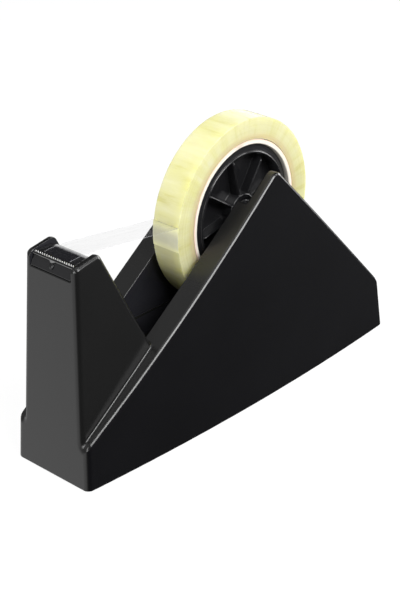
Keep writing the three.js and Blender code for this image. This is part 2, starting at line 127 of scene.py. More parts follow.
# ---- solids as distance fields --------------------------------------------------------------
# A field is negative inside the solid. Its arguments are arrays that broadcast together.
def round_max(a, b, radius):
    """Both solids at once, with the outer edge between them rounded."""
    over = np.sqrt(np.maximum(a + radius, 0) ** 2 + np.maximum(b + radius, 0) ** 2)
    return np.minimum(np.maximum(a, b), -radius) + over


def bevel_max(a, b, flat, radius):
    """Both solids at once, with a flat bevel along the outer edge between them."""
    return round_max(np.maximum(a, b), (a + b + flat) / math.sqrt(2), radius)


def round_min(a, b, radius):
    """Either solid, with a fillet in the inner corner between them."""
    over = np.sqrt(np.maximum(radius - a, 0) ** 2 + np.maximum(radius - b, 0) ** 2)
    return np.maximum(np.minimum(a, b), radius) - over


def below_line(x, z, start, end):
    """Distance above the straight line from start to end."""
    slope = (end[1] - start[1]) / (end[0] - start[0])
    return (z - start[1] - slope * (x - start[0])) / math.hypot(1, slope)


def cheek_top(x, z):
    """Distance above the cheeks: a sagging front slope and a straight back slope."""
    share = (x - CHEEK_FRONT[0]) / (APEX[0] - CHEEK_FRONT[0])
    slope = (APEX[1] - CHEEK_FRONT[1]) / (APEX[0] - CHEEK_FRONT[0])
    height = CHEEK_FRONT[1] + slope * (x - CHEEK_FRONT[0]) - 4 * CHEEK_SAG * share * (1 - share)
    front = (z - height) / math.hypot(1, slope)
    return round_max(front, below_line(x, z, APEX, BACK_CORNER), APEX_ROUND)


def base_side(x, y, z):
    """Distance outside the bowed side wall."""
    lean = z * (FRONT_LEAN - BACK_LEAN) / 2
    upright_x = (x - lean) / (1 - z * (FRONT_LEAN + BACK_LEAN) / (2 * HALF_LENGTH))
    share = (upright_x / (HALF_LENGTH - CORNER)) ** 2
    half_width = END_HALF_WIDTH + SIDE_BOW * (1 - share) + SIDE_EXTRA * (1 + share)
    return np.abs(y) - half_width * (1 - SIDE_TAPER * z)


def front_face(x, z):
    return -(x + HALF_LENGTH - FRONT_LEAN * z)


def back_face(x, z):
    return (x - HALF_LENGTH + BACK_LEAN * z) / math.hypot(1, BACK_LEAN)


def tower_back_x(z):
    return EAR_BACK[0] + (EAR_BACK[1] + EAR_LIFT - z) / TOWER_BACK_SLOPE


def tower(x, y, z):
    """The front tower with its two ears, as one solid."""
    side = np.abs(y) - TOWER_HALF_WIDTH * (1 - TOWER_TAPER * z)
    back = (x - tower_back_x(z)) / math.hypot(1, 1 / TOWER_BACK_SLOPE)
    front_x = -HALF_LENGTH + FRONT_LEAN * EAR_FRONT_Z
    top = below_line(x, z, (front_x, EAR_FRONT_Z), EAR_BACK) - EAR_LIFT
    return bevel_max(side, round_max(top, back, EAR_ROUND), EAR_BEVEL, BEVEL_EDGE)


def well_side(x, z, floor_z):
    """The well's outline from the side: open above and in front, round behind and below the roll."""
    radius = AXLE_Z - WELL_FLOOR_Z
    bowl = np.sqrt(np.maximum(x - AXLE_X, 0) ** 2 + np.minimum(z - AXLE_Z, 0) ** 2) - radius
    return np.maximum(bowl, floor_z - z)


def well(x, y, z):
    """The roll's well: wide down to its ledges, and narrow below them."""
    upper = round_max(np.abs(y) - WELL_HALF_WIDTH, well_side(x, z, WELL_LEDGE_Z), WELL_CORNER)
    lower = round_max(np.abs(y) - WELL_LOW_HALF_WIDTH, well_side(x, z, WELL_FLOOR_Z), WELL_CORNER)
    return np.minimum(upper, lower)


def cradle_space(x, y, z):
    """The open slots that the axle's ends drop into."""
    off, up = np.abs(x - AXLE_X), z - AXLE_Z
    radius = AXLE_RADIUS + GAP
    funnel = (off - np.minimum(radius + CRADLE_SLOPE * up, CRADLE_TOP_HALF)) / math.hypot(1, CRADLE_SLOPE)
    bottom = np.sqrt(off ** 2 + np.minimum(up, 0) ** 2) - radius
    return round_max(np.where(up > 0, funnel, bottom), np.abs(y) - CRADLE_DEPTH, INNER_EDGE)


def head_space(x, y, z):
    """The space for the cutter head, between the ears and in front of a wall."""
    behind = x - tower_back_x(SEAT_Z) - WALL
    return np.maximum(np.maximum(np.abs(y) - EAR_INNER, SEAT_Z - z), behind)


def housing_field(x, y, z):
    cheeks = bevel_max(base_side(x, y, z), cheek_top(x, z), BEVEL, BEVEL_EDGE)
    cheeks = round_max(cheeks, -well(x, y, z), INNER_EDGE)
    body = round_min(cheeks, tower(x, y, z), JUNCTION)
    body = round_max(body, front_face(x, z), FRONT_ROUND)
    body = round_max(body, back_face(x, z), BACK_ROUND)
    body = round_max(body, -cradle_space(x, y, z), INNER_EDGE)
    body = round_max(body, -head_space(x, y, z), HEAD_SPACE_EDGE)
    body = round_max(body, SKIRT_Z - z, FOOT_ROUND)
    ends = np.maximum(front_face(x, z), back_face(x, z)) + WALL
    under_cheeks = np.maximum(base_side(x, y, z), cheek_top(x, z)) + WALL
    base_hollow = np.maximum(np.maximum(under_cheeks, ends), WALL - well(x, y, z))
    base_hollow = np.maximum(base_hollow, z - HOLLOW_TOP_Z)
    tower_hollow = np.maximum(np.maximum(tower(x, y, z) + WALL, ends), z - SEAT_Z + SEAT_THICKNESS)
    return np.maximum(body, -np.minimum(base_hollow, tower_hollow))


# ---- from field to mesh ---------------------------------------------------------------------
def surface_nets(field, low, cell):
    """One vertex in each cell that the surface crosses, and one quad round each crossed grid edge."""
    inside = field < 0
    corners = list(itertools.product((0, 1), repeat=3))
    shape = np.array(field.shape) - 1
    count = np.zeros(shape, np.uint8)
    for i, j, k in corners:
        count += inside[i:i + shape[0], j:j + shape[1], k:k + shape[2]]
    active = (count > 0) & (count < 8)
    cells = np.argwhere(active)
    number = np.full(active.shape, -1, np.int32)
    number[active] = np.arange(len(cells))
    values = {c: field[cells[:, 0] + c[0], cells[:, 1] + c[1], cells[:, 2] + c[2]] for c in corners}
    total = np.zeros((len(cells), 3), np.float32)
    crossings = np.zeros(len(cells), np.float32)
    for first, second in itertools.combinations(corners, 2):
        if sum(a != b for a, b in zip(first, second)) != 1:
            continue
        a, b = values[first], values[second]
        crossed = (a < 0) != (b < 0)
        share = np.where(crossed, a / np.where(crossed, a - b, 1), 0)
        spot = np.array(first) + share[:, None] * (np.array(second) - np.array(first))
        total += spot * crossed[:, None]
        crossings += crossed
    points = np.array(low) + (cells + total / crossings[:, None]) * cell
    quads = []
    for axis in range(3):
        second, third = [(1, 2), (2, 0), (0, 1)][axis]
        here = [slice(1, -1)] * 3
        there = [slice(1, -1)] * 3
        here[axis], there[axis] = slice(0, -1), slice(1, None)
        leaving = inside[tuple(here)] & ~inside[tuple(there)]
        entering = ~inside[tuple(here)] & inside[tuple(there)]
        for crossed, turns in ((leaving, 1), (entering, -1)):
            at = np.argwhere(crossed) + 1
            at[:, axis] -= 1
            ring = []
            for back_second, back_third in ((1, 1), (0, 1), (0, 0), (1, 0)):
                cell_at = at.copy()
                cell_at[:, second] -= back_second
                cell_at[:, third] -= back_third
                ring.append(number[cell_at[:, 0], cell_at[:, 1], cell_at[:, 2]])
            quads.append(np.stack(ring, 1)[:, ::turns])
    return points, np.concatenate(quads)


# How far apart the gradient is measured, the least squared gradient that settle trusts, and a
# length too small to divide by.
PROBE = 0.02
LEAST_SLOPE = 0.05
TINY = 1e-9


def slopes(solid, points):
    """The field's gradient at each point."""
    found = np.zeros_like(points)
    for axis in range(3):
        shift = np.zeros(3)
        shift[axis] = PROBE
        found[:, axis] = (solid(*(points + shift).T) - solid(*(points - shift).T)) / (2 * PROBE)
    return found


def settle(solid, points, reach, rounds):
    """Moves points on to the surface, at most reach at a time."""
    for _ in range(rounds):
        slope = slopes(solid, points)
        size = np.maximum((slope ** 2).sum(1), LEAST_SLOPE)
        move = (solid(*points.T) / size)[:, None] * slope
        length = np.linalg.norm(move, axis=1, keepdims=True)
        points = points - move * np.minimum(1, reach / np.maximum(length, TINY))
    return points


def mesh_of(name, points, quads):
    """A mesh of four-sided faces."""
    mesh = bpy.data.meshes.new(name)
    mesh.vertices.add(len(points))
    mesh.vertices.foreach_set("co", points.astype(np.float32).ravel())
    mesh.loops.add(quads.size)
    mesh.loops.foreach_set("vertex_index", quads.astype(np.int32).ravel())
    mesh.polygons.add(len(quads))
    mesh.polygons.foreach_set("loop_start", np.arange(0, quads.size, 4, dtype=np.int32))
    mesh.update(calc_edges=True)
    mesh.validate()
    return mesh


def solid_piece(name, solid, low, high, cell, keep):
    """A piece from a field that is the same on both sides of y = 0. Keep is the share of faces kept."""
    low = np.array(low, float) - 2 * cell
    high = np.array(high, float) + 2 * cell
    half_count = int(math.ceil(high[1] / cell))
    x = np.arange(low[0], high[0], cell)
    y = (np.arange(half_count) + 0.5) * cell
    z = np.arange(low[2], high[2], cell)
    half = solid(x[:, None, None], y[None, :, None], z[None, None, :]).astype(np.float32)
    field = np.concatenate([half[:, ::-1], half], axis=1)
    points, quads = surface_nets(field, (x[0], -y[-1], z[0]), cell)
    points = settle(solid, points, cell / 2, rounds=2)
    piece = bpy.data.objects.new(name, mesh_of(name, points, quads))
    bpy.context.scene.collection.objects.link(piece)
    thin = piece.modifiers.new("thin", "DECIMATE")
    thin.ratio = keep
    apply_modifiers(piece)
    mesh = piece.data
    points = np.zeros(len(mesh.vertices) * 3, np.float32)
    mesh.vertices.foreach_get("co", points)
    points = settle(solid, points.reshape(-1, 3).astype(float), cell / 2, rounds=3)
    slope = slopes(solid, points)
    normals = slope / np.maximum(np.linalg.norm(slope, axis=1, keepdims=True), TINY)
    mesh.vertices.foreach_set("co", (points * MM).astype(np.float32).ravel())
    mesh.update()
    mesh.shade_smooth()
    mesh.normals_split_custom_set_from_vertices(normals.tolist())
    return piece


def apply_modifiers(piece):
    """Gives the piece the mesh that its modifiers make."""
    done = bpy.data.meshes.new_from_object(piece.evaluated_get(bpy.context.evaluated_depsgraph_get()))
    piece.modifiers.clear()
    old = piece.data
    piece.data = done
    bpy.data.meshes.remove(old)


# ---- outlines, slabs and turned shapes ------------------------------------------------------
def rounded(corners, steps=5):
    """Outline through corners given as (a, b) or (a, b, radius), with arcs at those with a radius."""
    outline = []
    for i, corner in enumerate(corners):
        here = Vector(corner[:2])
        if len(corner) < 3:
            outline.append(here)
            continue
        radius = corner[2]
        back = (Vector(corners[i - 1][:2]) - here).normalized()
        ahead = (Vector(corners[(i + 1) % len(corners)][:2]) - here).normalized()
        half = back.angle(ahead) / 2
        centre = here + (back + ahead).normalized() * radius / math.sin(half)
        first = here + back * radius / math.tan(half) - centre
        last = here + ahead * radius / math.tan(half) - centre
        sweep = first.angle(last)
        for k in range(steps + 1):
            share = k / steps
            outline.append(centre + (first * math.sin((1 - share) * sweep)
                                     + last * math.sin(share * sweep)) / math.sin(sweep))
    return outline


def inset(outline, distance):
    """The outline, run anticlockwise, moved inwards."""
    moved = []
    for i, point in enumerate(outline):
        before = (point - outline[i - 1]).normalized()
        after = (outline[(i + 1) % len(outline)] - point).normalized()
        first, second = Vector((-before.y, before.x)), Vector((-after.y, after.x))
        moved.append(point + (first + second) * distance / (1 + first.dot(second)))
    return moved


def ring_faces(bm, first, second):
    """Faces between two rings of as many points."""
    for i in range(len(first)):
        bm.faces.new((first[i - 1], first[i], second[i], second[i - 1]))


def slab(outline, low, high, edge, steps=3):
    """Outline in local x and y, from z low to high, with rounded edges."""
    bm = bmesh.new()
    levels = []
    for k in range(steps + 1):
        turn = math.pi / 2 * k / steps
        levels.append((low + edge * (1 - math.sin(turn)), edge * (1 - math.cos(turn))))
    levels = levels[::-1] + [(low + high - z, away) for z, away in levels]
    rings = []
    for z, away in levels:
        rings.append([bm.verts.new((p.x, p.y, z)) for p in inset(outline, away)])
    for first, second in zip(rings, rings[1:]):
        ring_faces(bm, first, second)
    bm.faces.new(rings[0][::-1])
    bm.faces.new(rings[-1])
    return bm


SAME_PLACE = 0.0005


def turned(profile, segments, closed=False):
    """Profile of (radius, height) turned about local z."""
    bm = bmesh.new()
    rings = []
    for k in range(segments):
        angle = 2 * math.pi * k / segments
        rings.append([bm.verts.new((r * math.cos(angle), r * math.sin(angle), z)) for r, z in profile])
    count = len(profile)
    for k in range(segments):
        first, second = rings[k - 1], rings[k]
        for i in range(count if closed else count - 1):
            j = (i + 1) % count
            bm.faces.new((first[i], second[i], second[j], first[j]))
    bmesh.ops.remove_doubles(bm, verts=bm.verts, dist=SAME_PLACE)
    bmesh.ops.recalc_face_normals(bm, faces=bm.faces)
    return bm


def basis(x_axis, y_axis, z_axis, place):
    """The placement whose local axes point along the given directions."""
    columns = [Vector(x_axis), Vector(y_axis), Vector(z_axis), Vector(place)]
    return Matrix([[c[row] for c in columns] for row in range(3)] + [[0, 0, 0, 1]])


ON_AXLE = basis((1, 0, 0), (0, 0, -1), (0, 1, 0), (AXLE_X, 0, AXLE_Z))
ACROSS = basis((1, 0, 0), (0, 0, 1), (0, -1, 0), (0, 0, 0))


def add_piece(name, bm, where, body, node, material, sharp=40):
    """Writes a bmesh built in millimetres to a new piece that stands for a CAD node."""
    bm.transform(Matrix.Scale(MM, 4) @ where)
    bmesh.ops.recalc_face_normals(bm, faces=bm.faces)
    mesh = bpy.data.meshes.new(name)
    bm.to_mesh(mesh)
    bm.free()
    mesh.shade_smooth()
    mesh.set_sharp_from_angle(angle=math.radians(sharp))
    piece = bpy.data.objects.new(name, mesh)
    bpy.context.scene.collection.objects.link(piece)
    even = piece.modifiers.new("even", "WEIGHTED_NORMAL")
    even.keep_sharp = True
    apply_modifiers(piece)
    claim(piece, body, node, material)


def claim(piece, body, node, material):
    """Gives the piece its only material, its body and the CAD node that it stands for."""
    piece.data.materials.clear()
    piece.data.materials.append(material)
    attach(piece, body)
    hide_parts(node)


# ---- materials ------------------------------------------------------------------------------
class Surface:
    """A node material with a Principled shader and helpers to feed it."""

    def __init__(self, name):
        self.material = bpy.data.materials.new(name)
        self.material.use_nodes = True
        self.tree = self.material.node_tree
        self.shader = self.tree.nodes["Principled BSDF"]
        self.place = self.tree.nodes.new("ShaderNodeTexCoord").outputs["Object"]

    def node(self, kind, links=None, **settings):
        made = self.tree.nodes.new(kind)
        for key, value in settings.items():
            setattr(made, key, value)
        for key, value in (links or {}).items():
            self.feed(made.inputs[key], value)
        return made

    def feed(self, socket, value):
        if isinstance(value, bpy.types.NodeSocket):
            self.tree.links.new(value, socket)
        else:
            socket.default_value = value

    def set(self, **values):
        for key, value in values.items():
            self.feed(self.shader.inputs[key.replace("_", " ")], value)

    def noise(self, scale, detail=3.0, stretch=None, roughness=0.5, place=None):
        source = place or self.place
        if stretch:
            source = self.node("ShaderNodeMapping", {"Vector": source, "Scale": stretch}).outputs[0]
        links = {"Vector": source, "Scale": scale, "Detail": detail, "Roughness": roughness}
        return self.node("ShaderNodeTexNoise", links).outputs["Fac"]

    def spread(self, value, low, high, start=0.3, end=0.7, smooth=False):
        """From low to high as the value goes from start to end, which suit a noise by default."""
        kind = "SMOOTHSTEP" if smooth else "LINEAR"
        links = {"Value": value, "From Min": start, "From Max": end, "To Min": low, "To Max": high}
        return self.node("ShaderNodeMapRange", links, interpolation_type=kind).outputs["Result"]

    def fade_in(self, value, start, end):
        return self.spread(value, 0, 1, start, end, True)

    def fade_out(self, value, start, end):
        return self.spread(value, 1, 0, start, end, True)

    def mix(self, share, first, second):
        made = self.node("ShaderNodeMix", data_type="RGBA")
        for key, value in (("Factor", share), ("A", first), ("B", second)):
            socket = next(s for s in made.inputs if s.name == key and s.enabled)
            self.feed(socket, value)
        return next(s for s in made.outputs if s.enabled)

    def math(self, operation, a, b=0.0):
        made = self.node("ShaderNodeMath", operation=operation)
        self.feed(made.inputs[0], a)
        self.feed(made.inputs[1], b)
        return made.outputs[0]

    def axis(self, letter, source=None):
        return self.node("ShaderNodeSeparateXYZ", {"Vector": source or self.place}).outputs[letter]

    def along(self, vector, direction):
        """How far the vector reaches along a direction."""
        links = {0: vector, 1: direction}
        return self.node("ShaderNodeVectorMath", links, operation="DOT_PRODUCT").outputs["Value"]

    def bump(self, height, strength, distance):
        links = {"Height": height, "Strength": strength, "Distance": distance}
        return self.node("ShaderNodeBump", links).outputs["Normal"]

    def from_axle(self):
        """Object coordinates measured from the axle's centre."""
        links = {"Vector": self.place, "Location": (-AXLE_X * MM, 0, -AXLE_Z * MM)}
        return self.node("ShaderNodeMapping", links).outputs[0]

    def polar(self):
        """Radius from the axle, angle round it, and the place across it."""
        place = self.from_axle()
        x, y, z = (self.axis(letter, place) for letter in "XYZ")
        squares = self.math("ADD", self.math("MULTIPLY", x, x), self.math("MULTIPLY", z, z))
        return self.math("SQRT", squares), self.math("ARCTAN2", z, x), y

    def scaled(self, *parts):
        """A place for noise, from up to three pairs of a value and its factor."""
        links = {axis: self.math("MULTIPLY", *part) for axis, part in zip("XYZ", parts)}
        return self.node("ShaderNodeCombineXYZ", links).outputs[0]


def grey(tone, blue=1.0):
    return (tone, tone, tone * blue, 1)


# Depth of the fine grain on the black plastic, in metres.
GRAIN_DEPTH = 0.00004
CLOUD_SHARE, GRAIN_SHARE = 0.6, 0.4


def gloss_pattern(s, clouds, fine):
    clouds = s.math("MULTIPLY", clouds, CLOUD_SHARE)
    return s.math("ADD", clouds, s.math("MULTIPLY", fine, GRAIN_SHARE))


def black_plastic(name, tone, rough, grain=0.025):
    """Satin moulded plastic: faint clouding, a fine grain and a soft change of gloss."""
    s = Surface(name)
    clouds = s.noise(22.0, 4.0)
    fine = s.noise(2600.0, 2.0)
    change, blue = 0.15, 1.1
    darker, lighter = grey(tone * (1 - change), blue), grey(tone * (1 + change), blue)
    s.set(Base_Color=s.mix(s.spread(clouds, 0, 1), darker, lighter))
    s.set(Roughness=s.spread(gloss_pattern(s, clouds, fine), *rough))
    s.set(Normal=s.bump(fine, grain, GRAIN_DEPTH))
    return s


# Where the housing's finish and its painted light change: the direction that its slanted tops face, and
# the distances from the middle plane at which the well's walls end and the side panels start.
CHEEK_TOP_NORMAL = (-0.757, 0.0, 0.653)
WALLS_END = (15.5 * MM, 16.5 * MM)
PANELS_START = (22.9 * MM, 23.6 * MM)
PANEL_GLOSS = 0.02
TOP_DULLNESS = 0.2


def housing_plastic():
    """Grained plastic: side panels polished darker, slanted tops duller, and painted light on the tops and
    well walls.
    """
    s = Surface("housing_plastic")
    clouds = s.noise(20.0, 4.0)
    fine = s.noise(2400.0, 2.0)
    normal = s.tree.nodes["Texture Coordinate"].outputs["Normal"]
    sideways = s.math("ABSOLUTE", s.axis("Y", normal))
    out = s.math("ABSOLUTE", s.axis("Y"))
    top = s.fade_in(s.along(normal, CHEEK_TOP_NORMAL), 0.97, 0.995)
    wall = s.math("MULTIPLY", s.fade_in(sideways, 0.8, 0.95), s.fade_out(out, *WALLS_END))
    panel = s.math("MULTIPLY", s.fade_in(sideways, 0.55, 0.8), s.fade_in(out, *PANELS_START))

    grained = s.mix(s.spread(clouds, 0, 1), grey(0.0055), grey(0.0070))
    polished = s.mix(s.spread(clouds, 0, 1), grey(0.0026, 1.25), grey(0.0034, 1.25))
    # Painted light: a lighter colour on the slanted tops and on the walls of the well.
    painted_top_light, painted_wall_light = grey(0.0110), grey(0.020, 1.2)
    outside = s.mix(top, s.mix(panel, grained, polished), painted_top_light)
    s.set(Base_Color=s.mix(wall, outside, painted_wall_light))

    rough = s.spread(gloss_pattern(s, clouds, fine), 0.20, 0.26)
    rough = s.math("SUBTRACT", rough, s.math("MULTIPLY", panel, PANEL_GLOSS))
    s.set(Roughness=s.math("ADD", rough, s.math("MULTIPLY", top, TOP_DULLNESS)))
    s.set(Specular_IOR_Level=s.spread(top, 0.5, 0.36, 0, 1))
    s.set(Normal=s.bump(fine, 0.03, GRAIN_DEPTH))
    return s.material


def steel(name, tone=0.62, rough=(0.2, 0.36), stretch=(1, 30, 1), grime=0.5):
    """Steel with fine scratches across the axis that is stretched most, and clouds of grime."""
    s = Surface(name)
    brushed = s.noise(900.0, 4.0, stretch, 0.65)
    clouds = s.noise(60.0, 3.0)
    grimy, clean = grey(tone * (1 - grime * 0.3), 1.02), grey(tone, 1.01)
    s.set(Base_Color=s.mix(s.spread(clouds, 0, 1), grimy, clean))
    s.set(Metallic=1.0, Roughness=s.spread(brushed, *rough), Normal=s.bump(brushed, 0.12, 0.00003))
    return s.material


def blade_steel():
    """Dark spring steel, painted bright at the teeth and along its lower edge as painted highlights."""
    s = Surface("blade_steel")
    foot = Vector((BLADE_FOOT[0], 0, BLADE_FOOT[1])).dot(blade_along) * MM
    height = s.math("SUBTRACT", s.along(s.place, blade_along), foot)
    teeth = s.fade_in(height, (TOOTH_ROOT - 0.25) * MM, (TOOTH_ROOT + 0.15) * MM)
    hem_highlight = s.fade_out(height, (BLADE_HEM + 0.12) * MM, (BLADE_HEM + 0.4) * MM)
    brushed = s.noise(1500.0, 4.0, (1, 0.2, 1), 0.65)
    dark = s.mix(s.spread(brushed, 0, 1), grey(0.03), grey(0.06))
    bright = s.mix(s.spread(brushed, 0, 1), grey(0.34), grey(0.5))
    # Painted highlights: a bright steel colour at the teeth and along the lower edge.
    s.set(Base_Color=s.mix(s.math("MAXIMUM", teeth, hem_highlight), dark, bright))
    s.set(Metallic=1.0, Roughness=s.spread(brushed, 0.18, 0.32), Normal=s.bump(brushed, 0.1, 0.00002))
    return s.material


def rubber():
    """Black rubber, paler where dust clings to it."""
    s = Surface("foot_rubber")
    dust = s.noise(180.0, 5.0)
    fine = s.noise(3000.0, 2.0)
    clean, dusty = grey(0.018), grey(0.045, 0.95)
    s.set(Base_Color=s.mix(s.spread(dust, 0, 1, 0.4, 0.75), clean, dusty))
    s.set(Roughness=s.spread(dust, 0.7, 0.9), Normal=s.bump(fine, 0.3, 0.00008))
    return s.material


def cement():
    """Cast ballast: lumpy grey with dark specks."""
    s = Surface("ballast_cement")
    lumps = s.noise(140.0, 6.0, roughness=0.7)
    specks = s.noise(900.0, 3.0)
    damp, dry, speck = (0.19, 0.18, 0.165, 1), (0.34, 0.33, 0.31, 1), grey(0.1)
    colour = s.mix(s.spread(lumps, 0, 1), damp, dry)
    s.set(Base_Color=s.mix(s.spread(specks, 0, 0.5, 0.6, 0.75), colour, speck))
    s.set(Roughness=0.95, Normal=s.bump(lumps, 0.5, 0.0006))
    return s.material


def plate_plastic():
    """Base plate with the coarse spark grain of a hidden moulding."""
    s = Surface("plate_plastic")
    grain = s.noise(1400.0, 3.0)
    clouds = s.noise(30.0, 4.0)
    s.set(Base_Color=s.mix(s.spread(clouds, 0, 1), grey(0.010), grey(0.016)))
    s.set(Roughness=s.spread(grain, 0.5, 0.66), Normal=s.bump(grain, 0.35, 0.0001))
    return s.material


# Steps of noise for each metre of radius, across the card's plies and the film's layers, and
# turns of the card's seam for each metre across.
PLIES = 5200.0
LAYERS = 2600.0
SEAM_TURNS = 30.0


def card():
    """Wound paper core: cream edge, pinkish skin outside, fibres and a spiral seam inside."""
    s = Surface("core_card")
    cream, pale_cream = (0.74, 0.68, 0.58, 1), (0.86, 0.81, 0.74, 1)
    fibre_brown, skin_pink, seam_brown = (0.66, 0.55, 0.42, 1), (0.86, 0.60, 0.47, 1), (0.5, 0.42, 0.33, 1)
    radius, angle, y = s.polar()
    plies = s.noise(1.0, 2.0, place=s.scaled((radius, PLIES), (angle, 1.4)))
    fibre = s.noise(700.0, 5.0, (1, 0.35, 1))
    turn = s.math("DIVIDE", angle, 2 * math.pi)
    seam = s.math("PINGPONG", s.math("ADD", s.math("MULTIPLY", y, SEAM_TURNS), turn), 0.5)
    colour = s.mix(s.spread(plies, 0, 1), cream, pale_cream)
    colour = s.mix(s.spread(fibre, 0, 0.35, 0.5, 0.8), colour, fibre_brown)
    skin = s.spread(radius, 0, 0.75, (CORE_RADIUS - 1.2) * MM, (CORE_RADIUS - 0.2) * MM, True)
    colour = s.mix(skin, colour, skin_pink)
    s.set(Base_Color=s.mix(s.spread(seam, 0.6, 0, 0.0, 0.02), colour, seam_brown))
    s.set(Roughness=0.8, Normal=s.bump(s.math("ADD", fibre, plies), 0.25, 0.00012))
    return s.material


def wound_film():
    """Clear film wound into a roll: pale yellow, tan towards the core, streaks of trapped air, and painted
    shade on its sides.
    """
    s = Surface("tape_film")
    yellow, pale_yellow = (0.71, 0.69, 0.31, 1), (0.78, 0.76, 0.45, 1)
    air, shadow = (0.84, 0.83, 0.58, 1), (0.56, 0.52, 0.15, 1)
    tan, pale_tan, layer_brown = (0.66, 0.54, 0.26, 1), (0.78, 0.68, 0.40, 1), (0.60, 0.50, 0.22, 1)
    radius, angle, y = s.polar()
    layers = s.noise(1.0, 3.0, roughness=0.6, place=s.scaled((radius, LAYERS), (angle, 0.5)))
    streaks = s.noise(1.0, 5.0, roughness=0.62, place=s.scaled((angle, 9.0), (y, 28.0), (radius, 30.0)))
    broad = s.noise(1.0, 2.0, place=s.scaled((angle, 1.7), (y, 20.0), (1.0, 3.0)))
    colour = s.mix(s.spread(broad, 0, 1), yellow, pale_yellow)
    colour = s.mix(s.spread(streaks, 0, 0.6, 0.46, 0.72), colour, air)
    colour = s.mix(s.spread(streaks, 0.55, 0, 0.28, 0.44), colour, shadow)

    inward = s.fade_out(radius, (CORE_RADIUS + 0.6) * MM, (CORE_RADIUS + 5.5) * MM)
    side = s.spread(s.math("ABSOLUTE", y), 0, 1, (ROLL_HALF - 0.5) * MM, (ROLL_HALF - 0.2) * MM)
    tanned = s.math("MULTIPLY", inward, s.spread(side, 0.4, 1, 0, 1))
    colour = s.mix(tanned, colour, s.mix(s.spread(layers, 0, 1), tan, pale_tan))
    lined = s.math("MULTIPLY", s.spread(layers, 0.25, 0, 0.3, 0.5), side)
    colour = s.mix(lined, colour, layer_brown)
    # Painted shade: the side faces are darkened a fifth of the way towards black.
    s.set(Base_Color=s.mix(s.spread(side, 0, 0.21, 0, 1), colour, grey(0.0)))

    s.set(Roughness=s.spread(side, 0.16, 0.42, 0, 1), Specular_IOR_Level=0.3)
    relief = s.math("ADD", layers, s.math("MULTIPLY", streaks, 0.5))
    s.set(Normal=s.bump(relief, 0.10, 0.0001))
    s.set(Subsurface_Weight=0.6, Subsurface_Radius=(1.0, 1.0, 0.45), Subsurface_Scale=0.008)
    return s.material


# Where the free film meets the roll, and how much it hides there and at its cut edges.
STUCK_X = (-39.6 * MM, -38.9 * MM)
STUCK_HAZE = 0.93
LIP_HAZE = 0.2


def clear_film():
    """The free run of film: nearly invisible, with cut edges painted white as a painted highlight."""
    s = Surface("tape_strip_film")
    # Painted highlight: the cut edges are coloured white where they catch the light.
    clear, cut_edge_highlight, stuck_yellow = (0.02, 0.02, 0.03, 1), (0.80, 0.80, 0.84, 1), (1.0, 0.98, 0.52, 1)
    out = s.math("ABSOLUTE", s.axis("Y"))
    ripple = s.noise(1.0, 3.0, (60, 400, 60))
    lip = s.spread(out, 0, LIP_HAZE, (ROLL_HALF - 0.22) * MM, (ROLL_HALF - 0.1) * MM)
    stuck = s.spread(s.axis("X"), 0, STUCK_HAZE, *STUCK_X, True)
    haze = s.math("ADD", s.spread(ripple, 0.06, 0.09), s.math("MAXIMUM", lip, stuck))
    white = s.mix(stuck, cut_edge_highlight, stuck_yellow)
    white_share = s.math("MAXIMUM", s.math("GREATER_THAN", lip, 0.1), s.math("GREATER_THAN", stuck, 0.05))
    s.set(Base_Color=s.mix(white_share, clear, white), Alpha=haze)
    s.set(Roughness=s.spread(ripple, 0.06, 0.12), IOR=1.5, Normal=s.bump(ripple, 0.05, 0.0002))
    return s.material


# ---- pieces ---------------------------------------------------------------------------------
HOUSING_CELL, HOUSING_CELL_QUICK = 0.55, 0.9
HOUSING_KEEP = 0.22


def housing():
    cell = HOUSING_CELL
    piece = solid_piece("housing_skin", housing_field, *box_mm("housing"), cell, HOUSING_KEEP)
    claim(piece, "base", "housing", housing_plastic())


# Hub: a rim with a sloping face and a standing bead along its lip, a web, ribs, a boss and a collar.
HUB_CELL, HUB_CELL_QUICK = 0.45, 0.75
HUB_KEEP = 0.8
HUB_HALF = 8.8
HUB_LIP = 32.6
HUB_EDGE = 0.4
FILLET = 0.45
RIM_EDGE = 0.3
BAND_HALF = 7.9
BAND_SLOPE = 0.3
BEAD = 1.5
BEAD_BEVEL = 0.6
RIDGE_EDGE = 0.2
WEB_HALF = 1.2
BOSS_RADIUS = 10.0
BOSS_HALF = 7.8
BOSS_EDGE = 0.6
COLLAR_RADIUS = 6.5
RIB_COUNT = 8
FIRST_RIB = math.radians(57.5)
RIB_HALF_THICKNESS = 0.75
RIB_BEVEL = 0.8
RIB_DRAFT = 0.02
RIB_TOP = 7.4
RIB_CLIP = 3.0
# How far the web and the ribs reach into what they join.
WEB_ROOT = 1.0
RIB_ROOT = 1.0
RIB_END = 0.5


def rim_field(radius, out):
    band = (out - BAND_HALF + BAND_SLOPE * (radius - HUB_LIP - BEAD)) / math.hypot(1, BAND_SLOPE)
    middle, half = (HUB_LIP + HUB_RADIUS) / 2, (HUB_RADIUS - HUB_LIP) / 2
    ring = round_max(np.abs(radius - middle) - half, band, RIM_EDGE)
    bead = np.abs(radius - HUB_LIP - BEAD / 2) - BEAD / 2
    return np.minimum(ring, bevel_max(bead, out - HUB_HALF, BEAD_BEVEL, RIDGE_EDGE))


def ribs_field(radius, angle, out):
    """All ribs at once: every sector is folded on to the first rib."""
    sector = 2 * math.pi / RIB_COUNT
    folded = np.mod(angle - FIRST_RIB + sector / 2, sector) - sector / 2
    along, aside = radius * np.cos(folded), np.abs(radius * np.sin(folded))
    draft = RIB_DRAFT * (RIB_TOP - out)
    clip = (out + along - RIB_TOP - HUB_LIP + RIB_CLIP) / math.sqrt(2)
    top = np.maximum(out - RIB_TOP, clip)
    rib = bevel_max(aside - RIB_HALF_THICKNESS - draft, top, RIB_BEVEL, RIDGE_EDGE)
    ends = np.maximum(BOSS_RADIUS - RIB_ROOT - along, along - HUB_LIP - RIB_END)
    return np.maximum(rib, ends)


